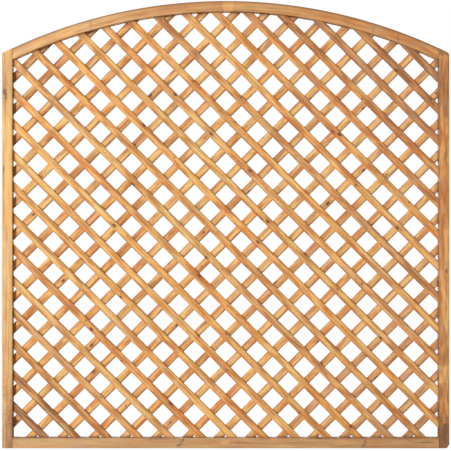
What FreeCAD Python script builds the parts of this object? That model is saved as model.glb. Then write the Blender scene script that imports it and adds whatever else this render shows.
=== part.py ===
# Arched trellis fence panel in millimetres: X across, Y from front to back, Z up, origin under the middle.
import FreeCAD
import Part
import math
import os
import Sketcher

# Driving dimensions of the panel, each set here once.
SIZES = {
    "panel_width": 1800,
    "panel_height": 1800,
    "side_height": 1590,
    "member_width": 42,
    "member_depth": 42,
    "arris_bevel": 3.5,
    "groove_depth": 14,
    "groove_clearance": 0.3,
    "tenon_clearance": 0.2,
    "tenon_end_clearance": 0.5,
    "foot_bevel_width": 10.7,
    "foot_bevel_height": 16,
    "slat_width": 30,
    "slat_thickness": 9,
    "slat_gap": 59.5,
    "slat_edge_bevel": 1.5,
    "slat_end_clearance": 0.5,
    "least_slat_length": 100,
    "lattice_angle": 45,
    "lattice_centre_height": 894,
    "staple_crown": 12,
    "staple_leg": 14,
    "staple_wire_width": 1.3,
    "staple_wire_thickness": 0.9,
    "staple_edge_margin": 12,
    "screw_length": 70,
    "screw_diameter": 4.5,
    "screw_head_diameter": 9,
    "screw_head_height": 4.5,
    "screw_bore_clearance": 0.1,
    "screw_edge_margin": 1.5,
}

# Two places closer than this are the same place.
SAME_PLACE = 1e-6

doc = FreeCAD.newDocument("arched_trellis_fence")
sheet = doc.addObject("Spreadsheet::Sheet", "Sizes")
for row, (alias, number) in enumerate(SIZES.items(), start=1):
    sheet.set(f"A{row}", alias)
    sheet.set(f"B{row}", str(number))
    sheet.setAlias(f"B{row}", alias)
doc.recompute()

# Expressions that more than one piece shares.
HALF_WIDTH = "(Sizes.panel_width / 2)"
RISE = "(Sizes.panel_height - Sizes.side_height)"
ARCH_RADIUS = f"(({HALF_WIDTH}^2 + {RISE}^2) / (2 * {RISE}))"
ARCH_CENTRE = f"(Sizes.panel_height - {ARCH_RADIUS})"
INNER_RADIUS = f"({ARCH_RADIUS} - Sizes.member_width)"
SHOULDER = f"({HALF_WIDTH} - Sizes.member_width)"
TENON_END = f"({SHOULDER} + Sizes.groove_depth - Sizes.tenon_end_clearance)"
GROOVE_WIDTH = "(2 * Sizes.slat_thickness + 2 * Sizes.groove_clearance)"
TENON_HALF = f"({GROOVE_WIDTH} / 2 - Sizes.tenon_clearance)"
SLAT_REACH = "(Sizes.groove_depth - Sizes.slat_end_clearance)"
FIELD_HALF = f"({SHOULDER} + {SLAT_REACH})"
FIELD_BOTTOM = f"(Sizes.member_width - {SLAT_REACH})"
FIELD_RADIUS = f"({INNER_RADIUS} + {SLAT_REACH})"
SLAT_PITCH = "(Sizes.slat_width + Sizes.slat_gap)"
TOP_SLOPE = f"asin({SHOULDER} / {ARCH_RADIUS})"
BORE_RECESS = f"(Sizes.screw_head_height + Sizes.screw_head_diameter * tan({TOP_SLOPE}))"


def value(expression):
    """Return the number that an expression of the sheet's sizes has now."""
    return float(sheet.evalExpression(expression))


def new_body(label):
    """Start an empty body."""
    body = doc.addObject("PartDesign::Body", label)
    body.Label = label
    return body


def sketch_on(body, plane, name):
    """Start a sketch on one of the body's own origin planes."""
    sketch = body.newObject("Sketcher::SketchObject", name)
    support = next(item for item in body.Origin.OriginFeatures if item.Role == plane)
    sketch.AttachmentSupport = [(support, "")]
    sketch.MapMode = "FlatFace"
    return sketch


def draw_outline(sketch, corners):
    """Draw a closed outline of straight lines, each corner tied to its two expressions."""
    first = sketch.GeometryCount
    points = [FreeCAD.Vector(value(across), value(up), 0) for across, up in corners]
    for start, end in zip(points, points[1:] + points[:1]):
        sketch.addGeometry(Part.LineSegment(start, end), False)
    for index, (corner, point) in enumerate(zip(corners, points)):
        line = first + index
        previous = first + (index - 1) % len(corners)
        sketch.addConstraint(Sketcher.Constraint("Coincident", previous, 2, line, 1))
        for kind, expression, distance in zip(("DistanceX", "DistanceY"), corner, point):
            tie = sketch.addConstraint(Sketcher.Constraint(kind, -1, 1, line, 1, distance))
            sketch.setExpression(f"Constraints[{tie}]", expression)


def long_edges(feature, depth, width):
    """Return the names of a feature's long edges along its front and back, longer than twice its width."""
    doc.recompute()
    names = []
    for number, edge in enumerate(feature.Shape.Edges, start=1):
        outside = all(abs(abs(vertex.Y) - depth / 2) < SAME_PLACE for vertex in edge.Vertexes)
        if outside and edge.Length > 2 * width:
            names.append(f"Edge{number}")
    return names


def grooved_section(sketch, outer, inner, groove_bottom, swap):
    """Draw a frame member's section, square with a central groove in the side that faces the lattice."""
    half_depth = "(Sizes.member_depth / 2)"
    half_groove = f"({GROOVE_WIDTH} / 2)"
    corners = [
        (outer, f"-{half_depth}"),
        (inner, f"-{half_depth}"),
        (inner, f"-{half_groove}"),
        (groove_bottom, f"-{half_groove}"),
        (groove_bottom, half_groove),
        (inner, half_groove),
        (inner, half_depth),
        (outer, half_depth),
    ]
    draw_outline(sketch, [(depth, reach) if swap else (reach, depth) for reach, depth in corners])


def ease_edges(body, feature, depth, width, bevel):
    """Bevel the four long edges of a piece of timber, given the names of its sizes."""
    edges = long_edges(feature, value(depth), value(width))
    easing = body.newObject("PartDesign::Chamfer", f"{body.Name}_easing")
    easing.Base = (feature, edges)
    easing.setExpression("Size", bevel)


def ease_arrises(body, feature):
    """Bevel the four long arrises of a frame member."""
    ease_edges(body, feature, "Sizes.member_depth", "Sizes.member_width", "Sizes.arris_bevel")


def cut_through(body, sketch, name, midplane, reverse):
    """Cut a sketch through the body and make sure that it took wood away."""
    doc.recompute()
    before = body.Shape.Volume
    pocket = body.newObject("PartDesign::Pocket", name)
    pocket.Profile = sketch
    pocket.Type = "ThroughAll"
    pocket.Midplane = midplane
    pocket.Reversed = reverse
    doc.recompute()
    if not body.Shape.Volume < before:
        raise RuntimeError(f"{name} cut nothing")


def cut_tenons(body):
    """Cut a stub tenon on each end, with square shoulders that butt against the stiles."""
    sketch = sketch_on(body, "XY_Plane", f"{body.Name}_tenon_outline")
    beyond = "Sizes.panel_width"
    clear = "Sizes.member_depth"
    for side in ("-", ""):
        corners = [
            (SHOULDER, clear),
            (beyond, clear),
            (beyond, f"-{clear}"),
            (SHOULDER, f"-{clear}"),
            (SHOULDER, f"-{TENON_HALF}"),
            (TENON_END, f"-{TENON_HALF}"),
            (TENON_END, TENON_HALF),
            (SHOULDER, TENON_HALF),
        ]
        draw_outline(sketch, [(side + across, depth) for across, depth in corners])
    cut_through(body, sketch, f"{body.Name}_tenons", False, True)


def make_stile(label, outer_face, turn, bevelled):
    """Make an upright: grooved stock from the ground up, its foot bevelled where the panel has that."""
    body = new_body(f"{label}_stock")
    section = sketch_on(body, "XY_Plane", f"{label}_section")
    groove_bottom = "(Sizes.member_width - Sizes.groove_depth)"
    grooved_section(section, "0", "Sizes.member_width", groove_bottom, False)
    pad = body.newObject("PartDesign::Pad", f"{label}_length")
    pad.Profile = section
    pad.setExpression("Length", "Sizes.panel_height")
    ease_arrises(body, pad)
    if bevelled:
        outline = sketch_on(body, "XZ_Plane", f"{label}_foot_outline")
        corners = [
            ("-Sizes.foot_bevel_width", "2 * Sizes.foot_bevel_height"),
            ("-Sizes.foot_bevel_width", "-Sizes.foot_bevel_height"),
            ("2 * Sizes.foot_bevel_width", "-Sizes.foot_bevel_height"),
        ]
        draw_outline(outline, corners)
        cut_through(body, outline, f"{label}_foot_bevel", True, False)
    body.Placement.Rotation = FreeCAD.Rotation(FreeCAD.Vector(0, 0, 1), turn)
    body.setExpression("Placement.Base.x", outer_face)
    return body


def make_bottom_rail():
    """Make the bottom rail: grooved stock with its groove up and a tenon on each end."""
    body = new_body("bottom_rail_stock")
    section = sketch_on(body, "YZ_Plane", "bottom_rail_section")
    groove_bottom = "(Sizes.member_width - Sizes.groove_depth)"
    grooved_section(section, "0", "Sizes.member_width", groove_bottom, True)
    pad = body.newObject("PartDesign::Pad", "bottom_rail_length")
    pad.Profile = section
    pad.Midplane = True
    pad.setExpression("Length", "Sizes.panel_width")
    ease_arrises(body, pad)
    cut_tenons(body)
    return body


def make_arched_rail():
    """Make the arched top rail: the same section swept round the arch's centre, with a tenon on each end."""
    body = new_body("arched_top_rail_stock")
    section = sketch_on(body, "YZ_Plane", "arched_top_rail_section")
    groove_bottom = f"({INNER_RADIUS} + Sizes.groove_depth)"
    grooved_section(section, ARCH_RADIUS, INNER_RADIUS, groove_bottom, True)
    sweep = body.newObject("PartDesign::Revolution", "arched_top_rail_sweep")
    sweep.Profile = section
    sweep.ReferenceAxis = (section, ["H_Axis"])
    sweep.Midplane = True
    sweep.setExpression("Angle", f"2 * asin({HALF_WIDTH} / {ARCH_RADIUS})")
    ease_arrises(body, sweep)
    cut_tenons(body)
    body.setExpression("Placement.Base.z", ARCH_CENTRE)
    return body


def make_arch_drum(label, radius):
    """Make a solid drum round the arch's centre, deep enough for the whole panel."""
    drum = doc.addObject("Part::Cylinder", label)
    drum.setExpression("Radius", radius)
    drum.setExpression("Height", "Sizes.member_depth")
    drum.Placement.Rotation = FreeCAD.Rotation(FreeCAD.Vector(1, 0, 0), -90)
    drum.setExpression("Placement.Base.y", "-Sizes.member_depth / 2")
    drum.setExpression("Placement.Base.z", ARCH_CENTRE)
    return drum


def combine(kind, label, base, tool):
    """Combine two objects by a boolean of the kind named."""
    result = doc.addObject(kind, label)
    result.Label = label
    result.Base = base
    result.Tool = tool
    return result


def place_copy(label, source, turn, across, depth, up):
    """Place a linked copy of a piece, turned about the Y axis."""
    copy = doc.addObject("App::Link", label)
    copy.LinkedObject = source
    copy.Placement.Rotation = FreeCAD.Rotation(FreeCAD.Vector(0, 1, 0), value(turn))
    copy.setExpression("Placement.Rotation.Angle", turn)
    copy.setExpression("Placement.Base.x", across)
    copy.setExpression("Placement.Base.y", depth)
    copy.setExpression("Placement.Base.z", up)
    return copy


def make_turned_pin(label, clearance, head_recess):
    """Make a countersunk screw's form by turning its profile, its head's top at the origin."""
    body = new_body(label)
    profile = sketch_on(body, "XZ_Plane", f"{label}_profile")
    head = f"(Sizes.screw_head_diameter / 2 + {clearance})"
    shank = f"(Sizes.screw_diameter / 2 + {clearance})"
    end = f"(Sizes.screw_length + {clearance})"
    corners = [("0", f"-{head_recess}"), (head, f"-{head_recess}")]
    if head_recess != "0":
        corners.append((head, "0"))
    corners += [(shank, "Sizes.screw_head_height"), (shank, end), ("0", end)]
    draw_outline(profile, corners)
    turned = body.newObject("PartDesign::Revolution", f"{label}_turning")
    turned.Profile = profile
    turned.ReferenceAxis = (profile, ["V_Axis"])
    turned.Angle = 360
    return body


def place_at_corners(label, source):
    """Place a copy of a screw or of its bore at each corner of the frame."""
    tenon_middle = f"({ARCH_RADIUS} - (Sizes.member_width - Sizes.groove_depth) / 2)"
    at_shoulder = f"({ARCH_CENTRE} + sqrt({tenon_middle}^2 - {SHOULDER}^2))"
    sunk = f"(Sizes.screw_head_diameter / 2 * tan({TOP_SLOPE}))"
    top_across = f"({HALF_WIDTH} - {sunk} * cos({TOP_SLOPE}))"
    top_up = f"{at_shoulder} - Sizes.member_width * tan({TOP_SLOPE}) + {sunk} * sin({TOP_SLOPE})"
    low_up = "Sizes.foot_bevel_height + Sizes.screw_head_diameter / 2 + Sizes.screw_edge_margin"
    return [
        place_copy(f"{label}_low_left", source, "90", f"-{HALF_WIDTH}", "0", low_up),
        place_copy(f"{label}_low_right", source, "-90", HALF_WIDTH, "0", low_up),
        place_copy(f"{label}_top_left", source, f"90 deg - {TOP_SLOPE}", f"-{top_across}", "0", top_up),
        place_copy(f"{label}_top_right", source, f"{TOP_SLOPE} - 90 deg", top_across, "0", top_up),
    ]


def make_slat_stock():
    """Make the planed stock that every slat is cut from, long enough for the field's diagonal."""
    body = new_body("slat_stock")
    section = sketch_on(body, "YZ_Plane", "slat_section")
    half_thickness = "(Sizes.slat_thickness / 2)"
    half_width = "(Sizes.slat_width / 2)"
    corners = [
        (f"-{half_thickness}", f"-{half_width}"),
        (half_thickness, f"-{half_width}"),
        (half_thickness, half_width),
        (f"-{half_thickness}", half_width),
    ]
    draw_outline(section, corners)
    pad = body.newObject("PartDesign::Pad", "slat_length")
    pad.Profile = section
    pad.Midplane = True
    pad.setExpression("Length", "2 * (Sizes.panel_width + Sizes.panel_height)")
    ease_edges(body, pad, "Sizes.slat_thickness", "Sizes.slat_width", "Sizes.slat_edge_bevel")
    return body


def make_field():
    """Make the lattice field: the frame's opening and the grooves round it, where slats may reach."""
    block = doc.addObject("Part::Box", "field_block")
    block.setExpression("Length", f"2 * {FIELD_HALF}")
    block.setExpression("Width", "Sizes.member_depth")
    block.setExpression("Height", "Sizes.panel_height")
    block.setExpression("Placement.Base.x", f"-{FIELD_HALF}")
    block.setExpression("Placement.Base.y", "-Sizes.member_depth / 2")
    block.setExpression("Placement.Base.z", FIELD_BOTTOM)
    drum = make_arch_drum("field_drum", FIELD_RADIUS)
    return combine("Part::Common", "lattice_field", block, drum)


def chord_length(offset, side):
    """Return the length inside the field of a slat's middle line, offset from the lattice's centre."""
    angle = math.radians(value("Sizes.lattice_angle"))
    along = FreeCAD.Vector(math.cos(angle), 0, -side * math.sin(angle))
    start = FreeCAD.Vector(math.sin(angle), 0, side * math.cos(angle)) * offset
    start.z += value("Sizes.lattice_centre_height")
    half = value(FIELD_HALF)
    limits = sorted((edge - start.x) / along.x for edge in (-half, half))
    floor = (value(FIELD_BOTTOM) - start.z) / along.z
    lowest = max(limits[0], floor) if along.z > 0 else limits[0]
    highest = min(limits[1], floor) if along.z < 0 else limits[1]
    from_centre = start - FreeCAD.Vector(0, 0, value(ARCH_CENTRE))
    nearest = -from_centre.dot(along)
    reach = value(FIELD_RADIUS) ** 2 - (from_centre + along * nearest).Length ** 2
    if reach <= 0:
        return 0
    half_chord = math.sqrt(reach)
    return min(highest, nearest + half_chord) - max(lowest, nearest - half_chord)


def slat_numbers(side):
    """Return each slat's number of pitches from the lattice's centre, which lies in the middle of a gap."""
    most = math.ceil(value(f"(Sizes.panel_width + Sizes.panel_height) / {SLAT_PITCH}"))
    pitch = value(SLAT_PITCH)
    least = value("Sizes.least_slat_length")
    numbers = [count + 0.5 for count in range(-most, most)]
    return [number for number in numbers if chord_length(number * pitch, side) >= least]


def make_slats(layer, side, stock, field):
    """Make one layer of parallel slats; side is 1 for those falling to the right, -1 for those rising.

    Each half is numbered from the lattice's centre outwards, so a slat keeps its name in any size of panel.
    """
    slats = []
    for number in slat_numbers(side):
        half = "upper" if side * number > 0 else "lower"
        label = f"{layer}_slat_{half}_{math.ceil(abs(number)):02d}"
        offset = f"({number} * {SLAT_PITCH})"
        copy = place_copy(
            f"{label}_stock",
            stock,
            f"{side} * Sizes.lattice_angle",
            f"{offset} * sin(Sizes.lattice_angle)",
            f"{-side} * Sizes.slat_thickness / 2",
            f"Sizes.lattice_centre_height + {side} * {offset} * cos(Sizes.lattice_angle)",
        )
        slats.append(combine("Part::Common", label, copy, field))
    return slats


def make_staple():
    """Make one wire staple, its crown across the top and its legs pointing forward."""
    body = new_body("staple")
    outline = sketch_on(body, "XY_Plane", "staple_outline")
    half = "(Sizes.staple_crown / 2)"
    inside = f"({half} - Sizes.staple_wire_thickness)"
    corners = [
        (f"-{half}", "Sizes.staple_wire_thickness"),
        (f"-{half}", "-Sizes.staple_leg"),
        (f"-{inside}", "-Sizes.staple_leg"),
        (f"-{inside}", "0"),
        (inside, "0"),
        (inside, "-Sizes.staple_leg"),
        (half, "-Sizes.staple_leg"),
        (half, "Sizes.staple_wire_thickness"),
    ]
    draw_outline(outline, corners)
    pad = body.newObject("PartDesign::Pad", "staple_width")
    pad.Profile = outline
    pad.Midplane = True
    pad.setExpression("Length", "Sizes.staple_wire_width")
    return body


def crossing_points():
    """Return the points behind every second crossing of the slats where a staple clears the frame."""
    angle = math.radians(value("Sizes.lattice_angle"))
    pitch = value(SLAT_PITCH)
    margin = value("Sizes.staple_edge_margin")
    half_crown = value("Sizes.staple_crown / 2")
    half_wire = value("Sizes.staple_wire_width / 2")
    widest = value(SHOULDER) - half_crown - margin
    lowest = value("Sizes.member_width") + half_wire + margin
    points = []
    for front in slat_numbers(1):
        for rear in slat_numbers(-1):
            if (front + rear) % 2:
                continue
            across = pitch * (front + rear) / (2 * math.sin(angle))
            up = value("Sizes.lattice_centre_height") + pitch * (front - rear) / (2 * math.cos(angle))
            corner = math.hypot(abs(across) + half_crown, up + half_wire - value(ARCH_CENTRE))
            below_arch = corner <= value(INNER_RADIUS) - margin
            if abs(across) <= widest and up >= lowest and below_arch:
                points.append(FreeCAD.Vector(across, value("Sizes.slat_thickness"), up))
    return points


def make_staples():
    """Make the staples that hold the two layers together, driven from behind."""
    staple = make_staple()
    doc.recompute()
    group = doc.addObject("Part::Feature", "lattice_staples")
    copies = []
    for point in crossing_points():
        copy = staple.Shape.copy()
        copy.translate(point)
        copies.append(copy.Solids[0])
    group.Shape = Part.makeCompound(copies)
    group.Placement = FreeCAD.Placement()
    return group


def check_document():
    """Stop if any object of the document failed."""
    for item in doc.Objects:
        if "Invalid" in item.State or "Error" in item.State:
            raise RuntimeError(f"{item.Label} failed: {item.State}")


def write_pieces(pieces):
    """Check each sub-part's solids and write them to its file."""
    os.makedirs("parts", exist_ok=True)
    for piece in pieces:
        shape = piece.Shape
        if shape.isNull() or not shape.isValid() or not shape.Solids:
            raise RuntimeError(f"{piece.Label} has no valid solid")
    for piece in pieces:
        piece.Shape.exportStep(f"parts/{piece.Label}.step")


screw = make_turned_pin("screw", "0", "0")
bore = make_turned_pin("screw_bore", "Sizes.screw_bore_clearance", BORE_RECESS)
screws = doc.addObject("Part::Compound", "corner_screws")
screws.Links = place_at_corners("screw", screw)
bores = doc.addObject("Part::Compound", "corner_bores")
bores.Links = place_at_corners("bore", bore)

envelope = make_arch_drum("arch_envelope", ARCH_RADIUS)
left_stock = make_stile("left_stile", f"-{HALF_WIDTH}", 0, False)
right_stock = make_stile("right_stile", HALF_WIDTH, 180, True)
left_curved = combine("Part::Common", "left_stile_curved", left_stock, envelope)
right_curved = combine("Part::Common", "right_stile_curved", right_stock, envelope)
frame = [
    combine("Part::Cut", "left_stile", left_curved, bores),
    combine("Part::Cut", "right_stile", right_curved, bores),
    combine("Part::Cut", "bottom_rail", make_bottom_rail(), bores),
    combine("Part::Cut", "arched_top_rail", make_arched_rail(), bores),
]

stock = make_slat_stock()
field = make_field()
front_slats = make_slats("front", 1, stock, field)
rear_slats = make_slats("rear", -1, stock, field)
staples = make_staples()

doc.recompute()
check_document()
write_pieces(frame + front_slats + rear_slats + [staples, screws])
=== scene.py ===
import contextlib
import math
import random
from collections import namedtuple

import bmesh
import bpy
from bpy.props import FloatProperty, FloatVectorProperty, IntProperty, PointerProperty
from mathutils import Matrix, Vector


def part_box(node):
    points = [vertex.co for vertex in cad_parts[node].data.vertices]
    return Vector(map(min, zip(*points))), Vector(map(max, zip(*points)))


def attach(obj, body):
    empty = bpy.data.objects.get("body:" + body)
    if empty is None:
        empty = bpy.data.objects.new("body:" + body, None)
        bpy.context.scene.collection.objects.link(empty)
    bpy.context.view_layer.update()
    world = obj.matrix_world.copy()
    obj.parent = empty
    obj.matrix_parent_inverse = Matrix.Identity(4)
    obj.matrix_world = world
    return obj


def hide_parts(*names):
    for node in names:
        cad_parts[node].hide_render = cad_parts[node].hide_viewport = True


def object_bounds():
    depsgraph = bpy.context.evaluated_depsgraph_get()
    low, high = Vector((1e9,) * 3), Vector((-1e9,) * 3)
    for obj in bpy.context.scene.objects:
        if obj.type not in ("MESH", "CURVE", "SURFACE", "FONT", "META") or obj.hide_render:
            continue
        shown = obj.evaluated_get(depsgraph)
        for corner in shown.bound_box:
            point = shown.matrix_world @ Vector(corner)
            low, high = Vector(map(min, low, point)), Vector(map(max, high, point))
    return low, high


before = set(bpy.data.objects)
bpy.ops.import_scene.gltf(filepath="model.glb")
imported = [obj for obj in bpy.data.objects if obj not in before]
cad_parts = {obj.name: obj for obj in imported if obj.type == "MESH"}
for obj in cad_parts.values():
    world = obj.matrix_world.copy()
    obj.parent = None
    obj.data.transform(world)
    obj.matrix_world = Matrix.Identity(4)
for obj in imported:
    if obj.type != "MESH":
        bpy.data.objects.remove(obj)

bl_info = {
    "name": "Arched trellis fence",
    "version": (1, 0, 0),
    "blender": (4, 5, 0),
    "location": "3D View > Sidebar > Trellis",
    "description": "Builds the looks of an arched trellis fence panel round its packed frame",
    "category": "Add Mesh",
}

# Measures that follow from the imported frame, in metres.
CAD_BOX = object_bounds()
PANEL_HIGH = CAD_BOX[1]
STILE_LOW, STILE_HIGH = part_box("left_stile")
SLAT_LOW, SLAT_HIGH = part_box("front_slat_upper_01")
HALF_WIDTH = PANEL_HIGH.x
HALF_DEPTH = PANEL_HIGH.y
MEMBER_WIDTH = STILE_HIGH.x - STILE_LOW.x
SHOULDER = HALF_WIDTH - MEMBER_WIDTH
TENON_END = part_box("bottom_rail")[1].x
SLAT_THICKNESS = SLAT_HIGH.y - SLAT_LOW.y
ARCH_RISE = PANEL_HIGH.z - STILE_HIGH.z
ARCH_RADIUS = (SHOULDER ** 2 + ARCH_RISE ** 2) / (2 * ARCH_RISE)
ARCH_CENTRE = Vector((0, 0, PANEL_HIGH.z - ARCH_RADIUS))
ARCH_SLOPE = math.asin(SHOULDER / ARCH_RADIUS)

ACROSS = Vector((1, 0, 0))
BACKWARD = Vector((0, 1, 0))
UP = Vector((0, 0, 1))

# The cosine above which two directions count as one, and the distance within which two points do.
NEARLY_ONE = 0.9
SAME_PLACE = 1e-5


def length_setting(name, description, default):
    """Return a property that holds a length in metres."""
    look = {"unit": "LENGTH", "subtype": "DISTANCE", "precision": 4}
    return FloatProperty(name=name, description=description, default=default, **look)


def colour_setting(name, description, default):
    """Return a property that holds a linear colour."""
    look = {"size": 3, "min": 0, "max": 1, "subtype": "COLOR"}
    return FloatVectorProperty(name=name, description=description, default=default, **look)


class TrellisTimber(bpy.types.PropertyGroup):
    """Sizes of the frame's timber and of the lattice."""

    arris_radius: length_setting("Arris radius", "Rounding of the frame's long edges", 0.003)
    shoulder_radius: length_setting("Shoulder radius", "Rounding of the rails' sawn ends", 0.0025)
    groove_depth: length_setting("Groove depth", "Depth of the groove that holds the slats' ends", 0.014)
    groove_width: length_setting("Groove width", "Width of that groove", 0.0186)
    tenon_thickness: length_setting("Tenon thickness", "Thickness of the rails' stub tenons", 0.0182)
    foot_bevel_width: length_setting("Foot bevel width", "Width of the right foot's bevel", 0.0107)
    foot_bevel_height: length_setting("Foot bevel height", "Height of the right foot's bevel", 0.016)
    corner_ease: length_setting("Corner ease", "Wear on the right stile's upper outer corner", 0.005)
    slat_width: length_setting("Slat width", "Width of each slat's face", 0.030)
    slat_gap: length_setting("Slat gap", "Gap between neighbouring slats", 0.0595)
    slat_end_clearance: length_setting("Slat end clearance", "Room behind a slat's end", 0.0005)
    # The slats' ends get painted shade over these lengths, where the frame shades them.
    left_shade_reach: length_setting("Left shade reach", "Length of the slats' darker ends at the left stile", 0.016)
    arch_shade_reach: length_setting("Arch shade reach", "The same under the arch", 0.026)
    lit_side_shade_reach: length_setting("Lit side shade reach", "The same at the right stile and the bottom rail", 0.009)
    slat_edge_radius: length_setting("Slat edge radius", "Rounding of the slats' long edges", 0.0022)
    lattice_centre: length_setting("Lattice centre", "Height of the gap in the lattice's middle", 0.894)
    lattice_angle: FloatProperty(
        name="Lattice angle", description="Lean of the slats", default=math.radians(45), subtype="ANGLE"
    )
    rounding_steps: IntProperty(name="Rounding steps", description="Facets of a rounded edge", default=3)
    arch_steps: IntProperty(name="Arch steps", description="Facets along the arch", default=96)


class TrellisFasteners(bpy.types.PropertyGroup):
    """Sizes of the staples and screws."""

    staple_crown: length_setting("Staple crown", "Width of a staple outside its legs", 0.012)
    staple_leg: length_setting("Staple leg", "Length of a staple's legs", 0.014)
    wire_width: length_setting("Wire width", "Width of the staple wire", 0.0013)
    wire_thickness: length_setting("Wire thickness", "Thickness of the staple wire", 0.0009)
    staple_margin: length_setting("Staple margin", "Least room between a staple and the frame", 0.012)
    bend_radius: length_setting("Bend radius", "Rounding of a staple's shoulders", 0.0006)
    bend_steps: IntProperty(name="Bend steps", description="Facets of a staple's shoulders", default=2)
    screw_length: length_setting("Screw length", "Length of a screw with its head", 0.070)
    screw_diameter: length_setting("Screw diameter", "Diameter of a screw's shank", 0.0045)
    head_diameter: length_setting("Head diameter", "Diameter of a screw's countersunk head", 0.009)
    head_height: length_setting("Head height", "Height of a screw's countersunk head", 0.0045)
    head_sides: IntProperty(name="Head sides", description="Facets round a screw", default=32)
    bore_clearance: length_setting("Bore clearance", "Room round a screw in its bore", 0.0001)
    screw_margin: length_setting("Screw margin", "Wood between a head and the foot's bevel", 0.0015)
    recess_length: length_setting("Recess length", "Length of the driver recess's arms", 0.0052)
    recess_width: length_setting("Recess width", "Width of the driver recess's arms", 0.0011)
    recess_depth: length_setting("Recess depth", "Depth of the driver recess", 0.0022)


class TrellisColours(bpy.types.PropertyGroup):
    """Colours of the stained pine and of the metal, as they look in plain light."""

    straw: colour_setting("Straw", "Palest yellow of the stain", (0.92, 0.590, 0.200))
    honey: colour_setting("Honey", "The stain's usual tone", (0.88, 0.420, 0.115))
    russet: colour_setting("Russet", "Reddish heartwood", (0.66, 0.200, 0.040))
    umber: colour_setting("Umber", "Late wood and dark streaks", (0.38, 0.140, 0.043))
    weathered: colour_setting("Weathered", "Greyed, sun-bleached stain", (0.70, 0.46, 0.26))
    knot: colour_setting("Knot", "Hearts of the knots", (0.19, 0.055, 0.020))
    # This colour is painted shade, laid on the boards' long edges and on the ends that the frame shades.
    seam: colour_setting("Seam", "Stain gathered along the edges", (0.17, 0.070, 0.028))
    zinc: colour_setting("Zinc", "Dull galvanised wire", (0.56, 0.56, 0.54))
    brass_zinc: colour_setting("Yellow zinc", "Yellow plating of the screws", (0.72, 0.56, 0.27))


class TrellisStage(bpy.types.PropertyGroup):
    """Camera and light."""

    camera_across: length_setting("Camera across", "Camera's place to the right of the middle", 0.0)
    camera_height: length_setting("Camera height", "Camera's height above the ground", 0.75)
    camera_distance: length_setting("Camera distance", "Camera's distance from the frame's face", 5.3)
    view_width: length_setting("View width", "Width of the picture at the frame's face", 1.8145)
    view_across: length_setting("View across", "Middle of the picture, to the right", -0.0009)
    view_height: length_setting("View height", "Middle of the picture, above the ground", 0.8964)
    key_power: FloatProperty(name="Key power", description="Main light, front left", default=1500)
    fill_power: FloatProperty(name="Fill power", description="Soft light by the camera", default=20)
    back_power: FloatProperty(name="Back power", description="Large soft light behind", default=260)
    sky: FloatProperty(name="Sky", description="Level of the even light from all round", default=0.13)
    floor_shadow: FloatProperty(
        name="Floor shadow", description="Share of the shadow that shows", default=0.12, subtype="FACTOR"
    )


def deselect_all():
    """Leave no object selected."""
    bpy.ops.object.select_all(action="DESELECT")


def take(piece):
    """Make a piece the only selected object and the active one."""
    deselect_all()
    piece.select_set(True)
    bpy.context.view_layer.objects.active = piece


def settle(piece):
    """Put a piece's place, turn and size into its mesh, with the object left at the origin."""
    take(piece)
    bpy.ops.object.transform_apply(location=True, rotation=True, scale=True)


def name_alike(piece, name):
    """Give a piece and its mesh the same name."""
    piece.name = name
    piece.data.name = name


def copy_of(piece, name):
    """Return a copy of a piece, with a mesh of its own."""
    take(piece)
    bpy.ops.object.duplicate()
    copy = bpy.context.active_object
    name_alike(copy, name)
    return copy


def join(pieces, name):
    """Join pieces into one and return it."""
    deselect_all()
    for piece in pieces:
        piece.select_set(True)
    bpy.context.view_layer.objects.active = pieces[0]
    bpy.ops.object.join()
    joined = bpy.context.active_object
    name_alike(joined, name)
    settle(joined)
    return joined


def discard(piece):
    """Delete a piece that was only a pattern or a cutter."""
    take(piece)
    bpy.ops.object.delete()


@contextlib.contextmanager
def editing(piece):
    """Hold a piece in edit mode."""
    take(piece)
    bpy.ops.object.mode_set(mode="EDIT")
    yield
    bpy.ops.object.mode_set(mode="OBJECT")


def choose(piece, kind, test):
    """In edit mode, select only the faces or edges that pass a test."""
    bpy.ops.mesh.select_mode(type=kind)
    bpy.ops.mesh.select_all(action="DESELECT")
    shape = bmesh.from_edit_mesh(piece.data)
    chosen = [item for item in (shape.faces if kind == "FACE" else shape.edges) if test(item)]
    if not chosen:
        raise RuntimeError(f"{piece.name} has nothing to select")
    for item in chosen:
        item.select_set(True)
    bmesh.update_edit_mesh(piece.data)


def score(point, direction):
    """In edit mode, score the selected faces along a plane."""
    bpy.ops.mesh.bisect(plane_co=point, plane_no=direction)


def trim(point, direction):
    """In edit mode, saw off what lies beyond a plane and close the cut."""
    bpy.ops.mesh.select_all(action="SELECT")
    bpy.ops.mesh.bisect(plane_co=point, plane_no=direction.normalized(), use_fill=True, clear_outer=True)


def add_loop(point, direction):
    """In edit mode, add a loop of edges where a plane meets the whole piece."""
    bpy.ops.mesh.select_all(action="SELECT")
    score(point, direction.normalized())


def pull(offset):
    """In edit mode, extrude what is selected by an offset."""
    bpy.ops.mesh.extrude_region_move(TRANSFORM_OT_translate={"value": offset})


def round_over(radius, steps):
    """In edit mode, round the selected edges."""
    bpy.ops.mesh.bevel(offset=radius, segments=steps, profile=0.5, affect="EDGES", clamp_overlap=False)


def tidy_shell():
    """In edit mode, merge doubled points and turn every face outwards."""
    bpy.ops.mesh.select_all(action="SELECT")
    bpy.ops.mesh.remove_doubles(threshold=SAME_PLACE)
    bpy.ops.mesh.normals_make_consistent(inside=False)


def smooth(piece, angle=math.radians(40)):
    """Shade the rounded edges smooth and keep the sawn ones sharp."""
    take(piece)
    bpy.ops.object.shade_smooth_by_angle(angle=angle)


def cut_with(piece, cutter):
    """Cut a piece by another, which is used up."""
    take(piece)
    bpy.ops.object.modifier_add(type="BOOLEAN")
    modifier = piece.modifiers[-1]
    modifier.operation = "DIFFERENCE"
    modifier.solver = "EXACT"
    modifier.object = cutter
    bpy.ops.object.modifier_apply(modifier=modifier.name)
    discard(cutter)


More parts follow.
